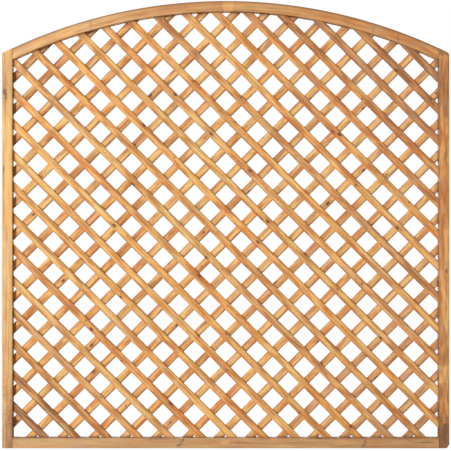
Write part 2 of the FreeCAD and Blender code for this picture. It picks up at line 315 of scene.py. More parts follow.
def add_block(name, low, high):
    """Add a block between two corners."""
    deselect_all()
    bpy.ops.mesh.primitive_cube_add(size=1, location=(low + high) / 2)
    block = bpy.context.active_object
    name_alike(block, name)
    block.scale = high - low
    settle(block)
    return block


def is_outside(edge):
    """Tell whether an edge lies in the frame's front or back."""
    return all(abs(abs(vertex.co.y) - HALF_DEPTH) < SAME_PLACE for vertex in edge.verts)


def is_arris(edge):
    """Tell whether an edge is one of a straight frame member's four long outer ones."""
    return is_outside(edge) and edge.calc_length() > 2 * MEMBER_WIDTH


def make_grooved_bar(name, low, high, inward):
    """Make a straight frame member with a groove along the side that faces the lattice."""
    timber = bpy.context.scene.trellis_timber
    depth = inward * timber.groove_depth
    half_groove = timber.groove_width / 2
    web_low = Vector(map(max, low, low - depth))
    web_high = Vector(map(min, high, high - depth))
    bar = add_block(name, web_low, web_high)

    def faces_lattice(face):
        return face.normal.dot(inward) > NEARLY_ONE

    def is_lip(face):
        return faces_lattice(face) and abs(face.calc_center_median().y) > half_groove

    with editing(bar):
        for side in (-half_groove, half_groove):
            choose(bar, "FACE", faces_lattice)
            score(BACKWARD * side, BACKWARD)
        choose(bar, "FACE", is_lip)
        pull(depth)
        bpy.ops.mesh.select_all(action="SELECT")
        bpy.ops.mesh.dissolve_limited(angle_limit=math.radians(1))
        choose(bar, "EDGE", is_arris)
        round_over(timber.arris_radius, timber.rounding_steps)
    return bar


def pull_tenons(rail, slope):
    """In edit mode, draw a stub tenon out of the middle of each sawn end of a rail."""
    timber = bpy.context.scene.trellis_timber
    half_tenon = timber.tenon_thickness / 2
    reach = TENON_END - SHOULDER
    for side in (-1, 1):
        outward = ACROSS * side

        def is_end(face):
            at_end = abs(face.calc_center_median().x) > SHOULDER - SAME_PLACE
            return at_end and face.normal.dot(outward) > NEARLY_ONE

        def is_tenon(face):
            return is_end(face) and abs(face.calc_center_median().y) < half_tenon / 2

        for edge in (-half_tenon, half_tenon):
            choose(rail, "FACE", is_end)
            score(BACKWARD * edge, BACKWARD)
        choose(rail, "FACE", is_tenon)
        pull(outward * reach - UP * reach * math.tan(slope))


def ease_shoulders(rail):
    """In edit mode, round the edges of a rail's sawn ends along its front and its back."""
    timber = bpy.context.scene.trellis_timber

    def is_shoulder(edge):
        at_end = all(abs(abs(vertex.co.x) - SHOULDER) < SAME_PLACE for vertex in edge.verts)
        return at_end and is_outside(edge)

    choose(rail, "EDGE", is_shoulder)
    round_over(timber.shoulder_radius, timber.rounding_steps)


def shade_shoulders(rail):
    """Return a full share of painted shade for the points of a rail's sawn ends, in the joint with the
    stiles, and none for the others.
    """
    return [float(abs(vertex.co.x) > SHOULDER - SAME_PLACE) for vertex in rail.data.vertices]


def arch_point(across, radius):
    """Return the point of a circle round the arch's centre that lies that far across."""
    return ARCH_CENTRE + Vector((across, 0, math.sqrt(radius ** 2 - across ** 2)))


# How dark, red and grey a board is, how far boards like it stray from that, and how much redder it is
# towards its far edge.
Look = namedtuple("Look", "dark red grey spread lean", defaults=(0, 0))

# Where in the tree a board may be sawn: along the trunk, to the side of the pith and out from it.
TRUNK = ((0, 50), (-0.09, 0.09), (0.02, 0.09))


def set_vectors(piece, name, vectors):
    """Keep one vector for each point of a piece's mesh under a name that its material reads."""
    attribute = piece.data.attributes.new(name, "FLOAT_VECTOR", "POINT")
    attribute.data.foreach_set("vector", [number for vector in vectors for number in vector])


def lay_grain(piece, board, places, half_width, half_thickness, look, shaded_ends=None):
    """Lay the grain of one board along a piece, by its points' places in the board.

    The board's name picks where in the tree it was sawn and how far it strays from the look given.
    Where a list is given, it says how much painted shade darkens each point.
    """
    draw = random.Random(board)
    sawn_from = Vector([draw.uniform(*span) for span in TRUNK])
    levels = (look.dark, look.red, look.grey)
    dark, red, grey = [level + look.spread * draw.gauss(0, 1) for level in levels]
    set_vectors(piece, "grain", [place + sawn_from for place in places])
    shaded_ends = shaded_ends or [0] * len(places)
    # Each point's edge holds its place across, its place through and the painted shade at it.
    edges = [
        (place.y / half_width, place.z / half_thickness, share) for place, share in zip(places, shaded_ends)
    ]
    set_vectors(piece, "edge", edges)
    set_vectors(piece, "board", [(dark, red + look.lean * edge, grey) for edge, _, _ in edges])


def straight_places(piece, along, across, middle):
    """Return each point's place along, across and through a straight board."""
    offsets = [vertex.co - middle for vertex in piece.data.vertices]
    return [Vector((offset.dot(along), offset.dot(across), offset.y)) for offset in offsets]


def arched_places(piece, middle_radius):
    """Return each point's place along, across and through the arched rail."""
    offsets = [vertex.co - ARCH_CENTRE for vertex in piece.data.vertices]
    places = []
    for offset in offsets:
        radius = math.hypot(offset.x, offset.z)
        turn = math.atan2(offset.x, offset.z)
        places.append(Vector((turn * middle_radius, radius - middle_radius, offset.y)))
    return places


def dress(piece, node, material):
    """Give a finished piece its material and put it in the place of its node."""
    smooth(piece)
    piece.data.materials.clear()
    piece.data.materials.append(material)
    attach(piece, "root")
    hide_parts(node)


def add_node(tree, kind, inputs=None, **settings):
    """Add a node to a tree, with its settings and with values or links on its inputs."""
    node = tree.nodes.new(kind)
    for name, setting in settings.items():
        setattr(node, name, setting)
    for key, given in (inputs or {}).items():
        if isinstance(given, bpy.types.NodeSocket):
            tree.links.new(given, node.inputs[key])
        else:
            node.inputs[key].default_value = given
    return node


def calculate(tree, operation, first, second=0.0, clamp=False):
    """Add a math node and return its result."""
    inputs = {0: first, 1: second}
    return add_node(tree, "ShaderNodeMath", inputs, operation=operation, use_clamp=clamp).outputs[0]


def weighted(tree, start, shares):
    """Add up a starting value and shares of other values, held between 0 and 1."""
    total = start
    for value, share in shares.items():
        node = add_node(tree, "ShaderNodeMath", {0: value, 1: share, 2: total}, operation="MULTIPLY_ADD")
        total = node.outputs[0]
    total.node.use_clamp = True
    return total


def ramp(tree, value, start, end, low=0.0, high=1.0):
    """Add a smooth step of a value from one level to another."""
    inputs = {"Value": value, "From Min": start, "From Max": end, "To Min": low, "To Max": high}
    return add_node(tree, "ShaderNodeMapRange", inputs, interpolation_type="SMOOTHSTEP").outputs["Result"]


def blend(tree, factor, first, second, mode="MIX"):
    """Add a colour mix and return its result."""
    inputs = {0: factor, 6: first, 7: second}
    return add_node(tree, "ShaderNodeMix", inputs, data_type="RGBA", blend_type=mode).outputs[2]


def combine(tree, operation, first, second):
    """Add a vector math node and return its vector."""
    inputs = {0: first, 1: second}
    return add_node(tree, "ShaderNodeVectorMath", inputs, operation=operation).outputs[0]


def measure(tree, vector):
    """Add a node that measures a vector and return its length."""
    return add_node(tree, "ShaderNodeVectorMath", {0: vector}, operation="LENGTH").outputs["Value"]


def split(tree, vector):
    """Add a node that splits a vector and return its three numbers."""
    return add_node(tree, "ShaderNodeSeparateXYZ", {0: vector}).outputs


def in_cells(tree, vector, lengths):
    """Count a place in cells of the lengths given."""
    scale = tuple(1 / length for length in lengths)
    return add_node(tree, "ShaderNodeMapping", {"Vector": vector, "Scale": scale}).outputs[0]


def oval_distance(tree, vector, middle, stretch):
    """Return how far a place is from a middle, counted with a stretch for each way."""
    away = combine(tree, "SUBTRACT", vector, middle)
    return measure(tree, combine(tree, "MULTIPLY", away, stretch))


def swing(tree, mask, strength):
    """Turn a mask into a swing both ways round its middle."""
    return calculate(tree, "MULTIPLY", calculate(tree, "SUBTRACT", mask, 0.5), strength)


def noise(tree, vector, scale, detail):
    """Add noise and return its level."""
    inputs = {"Vector": vector, "Scale": scale, "Detail": detail}
    return add_node(tree, "ShaderNodeTexNoise", inputs).outputs[0]


def stretched_noise(tree, vector, along, across, detail):
    """Add noise drawn out along the grain, with cells of the two lengths given."""
    return noise(tree, in_cells(tree, vector, (along, across, across)), 1, detail)


def new_group(name, inputs, outputs):
    """Start a shader node group and return its tree, what it is given and its output node."""
    tree = bpy.data.node_groups.new(name, "ShaderNodeTree")
    for label, kind in inputs.items():
        tree.interface.new_socket(label, in_out="INPUT", socket_type=kind)
    for label, kind in outputs.items():
        tree.interface.new_socket(label, in_out="OUTPUT", socket_type=kind)
    return tree, tree.nodes.new("NodeGroupInput").outputs, tree.nodes.new("NodeGroupOutput")


# Noise in a board's figure: its cells along and across the grain, its detail, and the levels between
# which it rises. Some kinds are read from another place, so that they don't follow the rest.
Noise = namedtuple("Noise", "along across detail start end elsewhere", defaults=(False,))
FIGURE_NOISE = {
    "Streaks": Noise(0.30, 0.008, 3, 0.45, 0.72),
    "Drift": Noise(0.30, 0.016, 2, 0.32, 0.68),
    "Mottle": Noise(0.13, 0.0065, 3, 0.34, 0.66),
    "Blotch": Noise(0.080, 0.015, 3, 0.36, 0.64, elsewhere=True),
    "Wear": Noise(0.11, 0.022, 2, 0.48, 0.72, elsewhere=True),
}
ELSEWHERE = (7, 3, 5)
FIBRE = {"along": 0.030, "across": 0.0009, "detail": 3}

# What the figure of a board tells its stain.
FIGURE_MASKS = ("Rings", *FIGURE_NOISE, "Knots", "Halo", "Fibre")

# Knots: how far apart they may lie, their shape, the share of places that have none, the largest radius,
# and the radii between which one comes to show. Rim and halo are counted in a knot's own radius.
KNOT_SPACING = Vector((0.22, 0.030, 1))
KNOT_STRETCH = (0.62, 1, 0)
KNOT_FREE = 0.58
KNOT_RADIUS = 0.0066
KNOT_SHOWS = (0.0005, 0.002)
KNOT_LEAST = 0.0001
KNOT_RIM = (0.6, 1.15)
KNOT_HALO = (0.9, 3.4)

# Growth rings: their spacing, the long sway of the trunk, and how far a knot pushes them aside. A year
# darkens from early to late wood and ends sharply.
RING_SPACING = 0.0042
RING_SWAY = 0.035
RING_PUSH = 0.007
SWAY = {"along": 0.9, "across": 0.10, "detail": 2}
LATE_WOOD = (0.25, 0.9)
YEAR_END = (0.92, 1.0)


def add_knots(tree, grain):
    """Add scattered knots and return their hearts and the wood disturbed round them."""
    inputs = {"Vector": in_cells(tree, grain, KNOT_SPACING), "Scale": 1}
    cells = add_node(tree, "ShaderNodeTexVoronoi", inputs, voronoi_dimensions="2D").outputs
    middle = combine(tree, "MULTIPLY", cells["Position"], KNOT_SPACING)
    distance = oval_distance(tree, grain, middle, KNOT_STRETCH)
    chance = add_node(tree, "ShaderNodeSeparateColor", {0: cells["Color"]}).outputs[0]
    size = ramp(tree, chance, KNOT_FREE, 1.0, 0.0, KNOT_RADIUS)
    reach = calculate(tree, "DIVIDE", distance, calculate(tree, "MAXIMUM", size, KNOT_LEAST))
    shows = ramp(tree, size, *KNOT_SHOWS)
    heart = calculate(tree, "MULTIPLY", ramp(tree, reach, *KNOT_RIM, 1.0, 0.0), shows)
    halo = calculate(tree, "MULTIPLY", ramp(tree, reach, *KNOT_HALO, 1.0, 0.0), shows)
    return heart, halo


def add_rings(tree, grain, halo):
    """Add growth rings round a pith and return their late wood."""
    _, across, out = split(tree, grain)
    sway = swing(tree, stretched_noise(tree, grain, **SWAY), RING_SWAY)
    across = calculate(tree, "ADD", across, sway)
    from_pith = add_node(tree, "ShaderNodeCombineXYZ", {0: across, 1: out}).outputs[0]
    pushed = calculate(tree, "MULTIPLY", halo, RING_PUSH)
    radius = calculate(tree, "ADD", measure(tree, from_pith), pushed)
    year = calculate(tree, "FRACT", calculate(tree, "DIVIDE", radius, RING_SPACING))
    late = ramp(tree, year, *LATE_WOOD)
    return calculate(tree, "MULTIPLY", late, ramp(tree, year, *YEAR_END, 1.0, 0.0))


def give_results(tree, output, results):
    """Link the results of a group to its output node."""
    for name, socket in results.items():
        tree.links.new(socket, output.inputs[name])


def make_figure_group():
    """Make the figure of sawn pine: growth rings, streaks, fibres and knots."""
    outputs = dict.fromkeys(FIGURE_MASKS, "NodeSocketFloat")
    tree, given, output = new_group("pine_figure", {"Grain": "NodeSocketVector"}, outputs)
    grain = given["Grain"]
    shifted = combine(tree, "ADD", grain, ELSEWHERE)
    heart, halo = add_knots(tree, grain)
    fibre = stretched_noise(tree, grain, **FIBRE)
    results = {"Rings": add_rings(tree, grain, halo), "Knots": heart, "Halo": halo, "Fibre": fibre}
    for name, kind in FIGURE_NOISE.items():
        vector = shifted if kind.elsewhere else grain
        level = stretched_noise(tree, vector, kind.along, kind.across, kind.detail)
        results[name] = ramp(tree, level, kind.start, kind.end)
    give_results(tree, output, results)
    return tree


# How patchy and knotty a board is, how much redder and greyer it gets to the right, how much painted
# shade darkens its two long edges and where that shade starts, and its marks.
STRENGTHS = "mottling blotchiness knottiness reddening greying far_rim near_rim rim_start".split()
Finish = namedtuple("Finish", (*STRENGTHS, "marks"), defaults=((),))

# The settings that hold the colours of the stain and of its painted shade.
STAIN_AND_SHADE_COLOURS = ("straw", "honey", "russet", "umber", "weathered", "knot", "seam")

# The warmths between which straw turns to honey and honey to russet.
HONEY_WARMTH = (0.0, 0.50)
RUSSET_WARMTH = (0.42, 1.10)

# How near a face a place has to be to show the painted shade along its edges, counted in half
# thicknesses.
BY_FACE = (0.5, 0.9)

# What a stain starts from, before its masks are added in their shares.
USUAL_WARMTH = 0.29
USUAL_LEVEL = 0.83
USUAL_ROUGHNESS = 0.52
USUAL_HEIGHT = 0.50


def title(name):
    """Return the name of a setting as a socket shows it."""
    return name.replace("_", " ").capitalize()


def make_stain_and_shade_group():
    """Make stain and painted shade: the figure's masks and a board's own tone turned into colour, gloss
    and height.
    """
    inputs = dict.fromkeys(FIGURE_MASKS, "NodeSocketFloat")
    inputs |= dict.fromkeys(("Board", "Edge", "Place"), "NodeSocketVector")
    inputs |= dict.fromkeys(("Marks", *map(title, STRENGTHS)), "NodeSocketFloat")
    inputs |= dict.fromkeys(map(title, STAIN_AND_SHADE_COLOURS), "NodeSocketColor")
    outputs = {"Colour": "NodeSocketColor", "Roughness": "NodeSocketFloat", "Height": "NodeSocketFloat"}
    tree, given, output = new_group("pine_stain", inputs, outputs)
    dark, red, grey = split(tree, given["Board"])
    side, depth, shaded_ends = split(tree, given["Edge"])
    rightward, _, _ = split(tree, given["Place"])
    mottle = swing(tree, given["Mottle"], given["Mottling"])
    blotch = swing(tree, given["Blotch"], given["Blotchiness"])
    knots = calculate(tree, "MULTIPLY", given["Knots"], given["Knottiness"])
    halo = calculate(tree, "MULTIPLY", given["Halo"], given["Knottiness"])

    warming = {rightward: given["Reddening"], red: 0.22, given["Drift"]: 0.55, mottle: 0.50, blotch: 0.60}
    warmth = weighted(tree, USUAL_WARMTH, warming)
    colour = blend(tree, ramp(tree, warmth, *HONEY_WARMTH), given["Straw"], given["Honey"])
    colour = blend(tree, ramp(tree, warmth, *RUSSET_WARMTH), colour, given["Russet"])
    pale = calculate(tree, "MULTIPLY", given["Marks"], -1.0, clamp=True)
    colour = blend(tree, pale, colour, given["Straw"])
    darkening = {given["Rings"]: 0.26, given["Streaks"]: 0.50, halo: 0.30}
    # The shaded ends are painted shade, drawn towards umber.
    darkening |= {given["Marks"]: 1.0, shaded_ends: 0.70}
    colour = blend(tree, weighted(tree, 0.0, darkening), colour, given["Umber"])
    wear = {grey: 0.20, given["Wear"]: 0.35, rightward: given["Greying"]}
    colour = blend(tree, weighted(tree, 0.0, wear), colour, given["Weathered"])
    shading = {dark: -0.10, given["Fibre"]: 0.24, mottle: 0.32, blotch: -0.30, given["Marks"]: -0.20}
    level = weighted(tree, USUAL_LEVEL, shading)
    shade = add_node(tree, "ShaderNodeCombineColor", {0: level, 1: level, 2: level}).outputs[0]
    colour = blend(tree, 1.0, colour, shade, "MULTIPLY")
    colour = blend(tree, knots, colour, given["Knot"])

    # Painted shade: the two long edges darken near the faces, each by its own strength, and the shaded
    # ends darken too.
    by_face = ramp(tree, calculate(tree, "ABSOLUTE", depth), *BY_FACE)
    far_rim = ramp(tree, side, given["Rim start"], 1.0)
    near_rim = ramp(tree, calculate(tree, "MULTIPLY", side, -1.0), given["Rim start"], 1.0)
    rims = weighted(tree, 0.0, {far_rim: given["Far rim"], near_rim: given["Near rim"]})
    painted_shading = weighted(tree, 0.0, {rims: by_face, shaded_ends: 0.25})
    colour = blend(tree, painted_shading, colour, given["Seam"])

    roughness = weighted(tree, USUAL_ROUGHNESS, {given["Fibre"]: 0.16, knots: -0.12})
    relief = {given["Fibre"]: 0.50, given["Rings"]: -0.30, knots: -0.30}
    height = weighted(tree, USUAL_HEIGHT, relief)
    give_results(tree, output, {"Colour": colour, "Roughness": roughness, "Height": height})
    return tree


def node_group(name, make):
    """Return a shader node group, made the first time that it is asked for."""
    return bpy.data.node_groups.get(name) or make()


def new_material(name):
    """Start a material and return it with its tree and its shader."""
    material = bpy.data.materials.new(name)
    material.use_nodes = True
    tree = material.node_tree
    return material, tree, tree.nodes["Principled BSDF"]


def opaque(colour):
    """Return a colour with full opacity."""
    return (*colour, 1.0)


# An oval mark on the panel: its place, its reach each way, its depth and how softly it ends. A depth
# below 0 is paler than the wood round it.
Mark = namedtuple("Mark", "across up half_width half_height depth softness", defaults=(1.0,))

# Where a mark ends, counted in its own reach with ragged noise round a half added, and that noise.
RAGGED_RIM = 1.6
RAGGED_NOISE = {"scale": 120, "detail": 2}


def add_marks(tree, place, marks):
    """Add up the marks at their places, each with a slightly ragged outline."""
    ragged = noise(tree, place, **RAGGED_NOISE)
    total = 0.0
    for spot in marks:
        stretch = (1 / spot.half_width, 0, 1 / spot.half_height)
        distance = oval_distance(tree, place, (spot.across, 0, spot.up), stretch)
        distance = calculate(tree, "ADD", distance, ragged)
        shade = ramp(tree, distance, RAGGED_RIM - spot.softness, RAGGED_RIM, spot.depth, 0.0)
        total = calculate(tree, "ADD", shade, total)
    return total


def make_pine(name, finish):
    """Make stained pine for one group of boards, with painted shade on their edges and shaded ends."""
    colours = bpy.context.scene.trellis_colours
    material, tree, shader = new_material(name)
    figure = add_node(tree, "ShaderNodeGroup", node_tree=node_group("pine_figure", make_figure_group))
    stain = add_node(tree, "ShaderNodeGroup", node_tree=node_group("pine_stain", make_stain_and_shade_group))
    readings = {
        label: add_node(tree, "ShaderNodeAttribute", attribute_name=label).outputs["Vector"]
        for label in ("grain", "board", "edge")
    }
    tree.links.new(readings["grain"], figure.inputs["Grain"])
    for mask in figure.outputs:
        tree.links.new(mask, stain.inputs[mask.name])
    tree.links.new(readings["board"], stain.inputs["Board"])
    tree.links.new(readings["edge"], stain.inputs["Edge"])
    place = add_node(tree, "ShaderNodeTexCoord").outputs["Object"]
    tree.links.new(place, stain.inputs["Place"])
    if finish.marks:
        tree.links.new(add_marks(tree, place, finish.marks), stain.inputs["Marks"])
    for label in STRENGTHS:
        stain.inputs[title(label)].default_value = getattr(finish, label)
    for label in STAIN_AND_SHADE_COLOURS:
        stain.inputs[title(label)].default_value = opaque(getattr(colours, label))
    relief = {"Strength": 0.35, "Distance": 0.0006, "Height": stain.outputs["Height"]}
    bump = add_node(tree, "ShaderNodeBump", relief)
    tree.links.new(stain.outputs["Colour"], shader.inputs["Base Color"])
    tree.links.new(stain.outputs["Roughness"], shader.inputs["Roughness"])
    tree.links.new(bump.outputs["Normal"], shader.inputs["Normal"])
    shader.inputs["Specular IOR Level"].default_value = 0.30
    return material


# The finish of plated steel: its patches to the metre, the levels between which they tarnish and roughen,
# and how much rougher they get.
PLATING_NOISE = {"scale": 900, "detail": 4}
PLATING_TARNISH = (0.42, 0.70)
PLATING_WEAR = (0.3, 0.7)
PLATING_ROUGHENING = 0.2


def make_metal(name, colour, tarnish, roughness):
    """Make plated steel with a mottled finish, its tarnish a share of its colour."""
    material, tree, shader = new_material(name)
    place = add_node(tree, "ShaderNodeTexCoord").outputs["Object"]
    mottle = noise(tree, place, **PLATING_NOISE)
    dull = opaque(Vector(colour) * tarnish)
    shade = blend(tree, ramp(tree, mottle, *PLATING_TARNISH), opaque(colour), dull)
    gloss = ramp(tree, mottle, *PLATING_WEAR, roughness, roughness + PLATING_ROUGHENING)
    bump = add_node(tree, "ShaderNodeBump", {"Strength": 0.2, "Distance": 0.0001, "Height": mottle})
    tree.links.new(shade, shader.inputs["Base Color"])
    tree.links.new(gloss, shader.inputs["Roughness"])
    tree.links.new(bump.outputs["Normal"], shader.inputs["Normal"])
    shader.inputs["Metallic"].default_value = 1.0
    return material


def screw_places():
    """Return each screw's head and direction: square to the stiles below, along the arch above."""
    timber = bpy.context.scene.trellis_timber
    sizes = bpy.context.scene.trellis_fasteners
    head_radius = sizes.head_diameter / 2
    low = timber.foot_bevel_height + head_radius + sizes.screw_margin
    web_middle = ARCH_RADIUS - (MEMBER_WIDTH - timber.groove_depth) / 2
    sunk = head_radius * math.tan(ARCH_SLOPE)
    fall = MEMBER_WIDTH * math.tan(ARCH_SLOPE)
    height = arch_point(SHOULDER, web_middle).z - fall + sunk * math.sin(ARCH_SLOPE)
    across = HALF_WIDTH - sunk * math.cos(ARCH_SLOPE)
    places = []
    for side in (-1, 1):
        places.append((Vector((side * HALF_WIDTH, 0, low)), Vector((-side, 0, 0))))
        inward = Vector((-side * math.cos(ARCH_SLOPE), 0, math.sin(ARCH_SLOPE)))
        places.append((Vector((side * across, 0, height)), inward))
    return places


def turn_pin(name, rings):
    """Turn a round pin along Z from the height and radius of each of its rings, first to last."""
    sizes = bpy.context.scene.trellis_fasteners
    deselect_all()
    (height, radius), *rest = rings
    bpy.ops.mesh.primitive_circle_add(
        vertices=sizes.head_sides, radius=radius, fill_type="NGON", location=(0, 0, height)
    )
    pin = bpy.context.active_object
    name_alike(pin, name)
    settle(pin)
    with editing(pin):
        bpy.ops.mesh.select_all(action="SELECT")
        for next_height, next_radius in rest:
            pull(UP * (next_height - height))
            share = next_radius / radius
            bpy.ops.transform.resize(value=(share, share, 1), center_override=(0, 0, next_height))
            height, radius = next_height, next_radius
        tidy_shell()
    return pin


def set_pin(pin, place, direction):
    """Set a pin's head at a place, its length along a direction."""
    turn = direction.to_track_quat("Z", "Y").to_matrix().to_4x4()
    pin.matrix_world = Matrix.Translation(place) @ turn
    settle(pin)


def bore_for_screws(piece, side):
    """Bore one stile for its two screws."""
    sizes = bpy.context.scene.trellis_fasteners
    head = sizes.head_diameter / 2 + sizes.bore_clearance
    shank = sizes.screw_diameter / 2 + sizes.bore_clearance
    recess = sizes.head_height + sizes.head_diameter * math.tan(ARCH_SLOPE)
    rings = ((-recess, head), (0, head), (sizes.head_height, shank), (sizes.screw_length, shank))
    for place, direction in screw_places():
        if place.x * side > 0:
            bore = turn_pin("bore", rings)
            set_pin(bore, place, direction)
            cut_with(piece, bore)


# The knots, checks and stains that show on the frame.
LEFT_STILE_MARKS = (
    Mark(-0.891, 1.436, 0.009, 0.018, 2.00),
    Mark(-0.884, 1.418, 0.005, 0.022, 1.10),
    Mark(-0.890, 1.440, 0.018, 0.060, 0.25),
    Mark(-0.890, 1.470, 0.060, 0.180, 0.22),
    Mark(-0.893, 1.123, 0.005, 0.018, 0.80),
    Mark(-0.866, 1.000, 0.030, 0.500, -0.22),
    Mark(-0.893, 0.800, 0.016, 0.900, 0.10),
    Mark(-0.880, 0.000, 0.100, 0.330, 0.40),
    Mark(-0.864, 0.030, 0.024, 0.200, 0.55),
)
RIGHT_STILE_MARKS = (
    Mark(0.880, 1.606, 0.080, 0.024, 0.60, 0.4),
    Mark(0.880, 1.572, 0.060, 0.016, -0.15, 0.5),
    Mark(0.875, 1.450, 0.080, 0.160, 0.50),
    Mark(0.889, 0.714, 0.006, 0.012, 1.40),
    Mark(0.878, 0.720, 0.050, 0.350, -0.10),
    Mark(0.875, 0.370, 0.060, 0.040, 0.28),
    Mark(0.882, 0.297, 0.080, 0.036, -0.32, 0.3),
    Mark(0.878, 0.220, 0.060, 0.040, 0.35),
    Mark(0.882, 0.092, 0.007, 0.012, 1.20),
    Mark(0.880, 0.000, 0.100, 0.160, 1.05, 0.7),
)
BOTTOM_RAIL_MARKS = (
    Mark(-0.820, 0.024, 0.024, 0.012, -0.30),
    Mark(-0.660, 0.012, 0.300, 0.020, -0.20),
    Mark(-0.277, 0.038, 0.100, 0.003, 0.80),
    Mark(-0.190, 0.012, 0.012, 0.008, 1.00),
    Mark(-0.180, 0.022, 0.008, 0.012, 1.00),
    Mark(-0.172, 0.034, 0.006, 0.014, 1.00),
    Mark(-0.003, 0.024, 0.018, 0.011, -0.40, 0.3),
    Mark(0.066, 0.022, 0.056, 0.003, 0.80),
    Mark(0.380, 0.038, 0.110, 0.003, 0.90),
    Mark(0.562, 0.030, 0.007, 0.018, 0.70),
    Mark(0.554, 0.012, 0.008, 0.012, 0.60),
    Mark(0.800, 0.024, 0.060, 0.004, 0.70),
    Mark(0.700, 0.010, 0.300, 0.030, 0.15),
)
ARCHED_RAIL_MARKS = (
    Mark(-0.760, 1.680, 0.520, 0.400, -0.34),
    Mark(-0.543, 1.706, 0.008, 0.022, 0.40),
    Mark(0.050, 1.775, 0.520, 0.120, 0.14),
    Mark(0.010, 1.780, 0.022, 0.050, -0.36, 0.3),
    Mark(0.593, 1.686, 0.006, 0.020, 0.55),
    Mark(0.693, 1.652, 0.005, 0.024, 0.55),
)

# Each frame member's pine: the material's name, the look of the board and its finish.
Member = namedtuple("Member", "pine look finish")
FRAME_FINISH = Finish(
    mottling=0.4,
    blotchiness=0.3,
    knottiness=0,
    reddening=0.06,
    greying=-0.10,
    far_rim=0.40,
    near_rim=0.30,
    rim_start=0.86,
)
FRAME_MEMBERS = {
    "left_stile": Member(
        "left_stile_pine",
        Look(dark=0.3, red=-1.4, grey=0.2, lean=0.3),
        FRAME_FINISH._replace(marks=LEFT_STILE_MARKS),
    ),
    "right_stile": Member(
        "right_stile_pine",
        Look(dark=1.5, red=0.8, grey=0.9),
        FRAME_FINISH._replace(
            mottling=0.6, blotchiness=0.8, far_rim=0.60, near_rim=0.95, marks=RIGHT_STILE_MARKS
        ),
    ),
    "bottom_rail": Member(
        "bottom_rail_pine",
        Look(dark=2.4, red=-0.7, grey=2.0),
        FRAME_FINISH._replace(blotchiness=0.2, far_rim=0.08, near_rim=0.22, marks=BOTTOM_RAIL_MARKS),
    ),
    "arched_top_rail": Member(
        "arched_rail_pine",
        Look(dark=1.6, red=0.2, grey=1.1),
        FRAME_FINISH._replace(far_rim=0.80, near_rim=0.00, rim_start=0.45, marks=ARCHED_RAIL_MARKS),
    ),
}


def finish_member(piece, node, places, shaded_ends=None):
    """Lay the grain of a frame member and give it its own pine."""
    member = FRAME_MEMBERS[node]
    lay_grain(piece, node, places, MEMBER_WIDTH / 2, HALF_DEPTH, member.look, shaded_ends)
    dress(piece, node, make_pine(member.pine, member.finish))


def make_stile(node, side):
    """Make one upright, sawn to the arch at its top and bored for its screws."""
    timber = bpy.context.scene.trellis_timber
    edges = sorted((side * HALF_WIDTH, side * SHOULDER))
    low = Vector((edges[0], -HALF_DEPTH, 0))
    high = Vector((edges[1], HALF_DEPTH, PANEL_HIGH.z))
    stile = make_grooved_bar(f"{node}_timber", low, high, ACROSS * -side)
    middle = side * (HALF_WIDTH + SHOULDER) / 2
    top = arch_point(middle, ARCH_RADIUS)
    with editing(stile):
        trim(top, top - ARCH_CENTRE)
        if side > 0:
            foot = Vector((HALF_WIDTH - timber.foot_bevel_width, 0, 0))
            trim(foot, Vector((timber.foot_bevel_height, 0, -timber.foot_bevel_width)))
            corner = arch_point(HALF_WIDTH, ARCH_RADIUS) - ACROSS * timber.corner_ease
            trim(corner, ACROSS + UP)
        tidy_shell()
    bore_for_screws(stile, side)
    finish_member(stile, node, straight_places(stile, UP, ACROSS, ACROSS * middle))


class TRELLIS_OT_stiles(bpy.types.Operator):
    """Build the two uprights"""

    bl_idname = "trellis.stiles"
    bl_label = "Stiles"

    def execute(self, context):
        make_stile("left_stile", -1)
        make_stile("right_stile", 1)
        return {"FINISHED"}


class TRELLIS_OT_bottom_rail(bpy.types.Operator):
    """Build the straight rail along the ground"""

    bl_idname = "trellis.bottom_rail"
    bl_label = "Bottom rail"

    def execute(self, context):
        low = Vector((-SHOULDER, -HALF_DEPTH, 0))
        high = Vector((SHOULDER, HALF_DEPTH, MEMBER_WIDTH))
        rail = make_grooved_bar("bottom_rail_timber", low, high, UP)
        with editing(rail):
            ease_shoulders(rail)
            pull_tenons(rail, 0)
            tidy_shell()
        places = straight_places(rail, ACROSS, UP, UP * MEMBER_WIDTH / 2)
        # The sawn ends get painted shade, for the shaded joint at the stiles.
        finish_member(rail, "bottom_rail", places, shade_shoulders(rail))
        return {"FINISHED"}


def make_arch_section(name, angle):
    """Make the arched rail's grooved section, swung by an angle round the arch's centre."""
    timber = bpy.context.scene.trellis_timber
    half_groove = timber.groove_width / 2
    web = MEMBER_WIDTH - timber.groove_depth
    deselect_all()
    bpy.ops.mesh.primitive_plane_add(size=1, rotation=(0, math.pi / 2, 0))
    section = bpy.context.active_object
    name_alike(section, name)
    settle(section)
    section.scale = (1, 2 * HALF_DEPTH, web)
    section.location = UP * (PANEL_HIGH.z - web / 2)
    settle(section)

    def is_lip(edge):
        middle = (edge.verts[0].co + edge.verts[1].co) / 2
        return abs(middle.z - (PANEL_HIGH.z - web)) < SAME_PLACE and abs(middle.y) > half_groove

    with editing(section):
        for side in (-half_groove, half_groove):
            bpy.ops.mesh.select_all(action="SELECT")
            score(BACKWARD * side, BACKWARD)
        choose(section, "EDGE", is_lip)
        pull(-UP * timber.groove_depth)
    to_centre = Matrix.Translation(ARCH_CENTRE)
    section.matrix_world = to_centre @ Matrix.Rotation(angle, 4, "Y") @ to_centre.inverted()
    settle(section)
    return section


def is_arched_arris(edge):
    """Tell whether an edge is a part of one of the arched rail's four long outer ones."""
    radii = [math.hypot(vertex.co.x, vertex.co.z - ARCH_CENTRE.z) for vertex in edge.verts]
    limits = (ARCH_RADIUS, ARCH_RADIUS - MEMBER_WIDTH)
    return is_outside(edge) and any(
        all(abs(radius - limit) < SAME_PLACE for radius in radii) for limit in limits
    )


